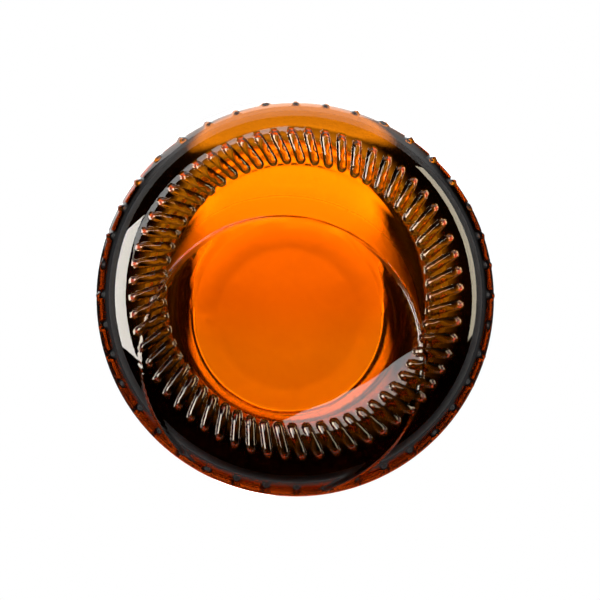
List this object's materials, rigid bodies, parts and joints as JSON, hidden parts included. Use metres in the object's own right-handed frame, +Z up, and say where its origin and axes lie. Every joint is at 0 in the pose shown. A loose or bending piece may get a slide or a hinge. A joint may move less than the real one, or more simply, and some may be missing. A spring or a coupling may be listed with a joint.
{
  "type": "glass milk bottle",
  "caption": "Round amber glass milk bottle with a knurled base, sealed by a domed glass lid that a wire bail and locking lever clamp onto a rubber gasket.",
  "frame": {"origin": "centre of the bottle's axis at the plane of the knurls it stands on", "axes": "+Z up along the bottle's axis, -Y towards the locking lever (front), X along the closure's pivot line"},
  "size_m": [0.0782, 0.0782, 0.2017],
  "materials": {
    "amber_glass": "gloss",
    "wire": "satin",
    "rubber": "matte"
  },
  "bodies": {
    "bottle": {"bottle": "amber_glass", "neck_wire": "wire", "gasket": "rubber"},
    "lid": {"lid": "amber_glass"},
    "lever": {"lever": "wire"},
    "bail": {"bail": "wire"}
  },
  "joints": [
    {"name": "lever_turn", "type": "hinge", "parent": "bottle", "child": "lever", "pos_m": [0, 0, 0.168], "axis": [-1, 0, 0], "range_deg": [0, 66]},
    {"name": "bail_swing", "type": "hinge", "parent": "lever", "child": "bail", "pos_m": [0, 0.0009, 0.16156], "axis": [1, 0, 0], "range_deg": [0, 205]},
    {"name": "lid_lift", "type": "slide", "parent": "bottle", "child": "lid", "axis": [0, 0, 1], "range_m": [0, 0.0081]}
  ],
  "couplings": [
    {"joint": "bail_swing", "follows": "lever_turn", "ratio": 3.1},
    {"joint": "lid_lift", "follows": "lever_turn", "m_per_rad": 0.007}
  ]
}
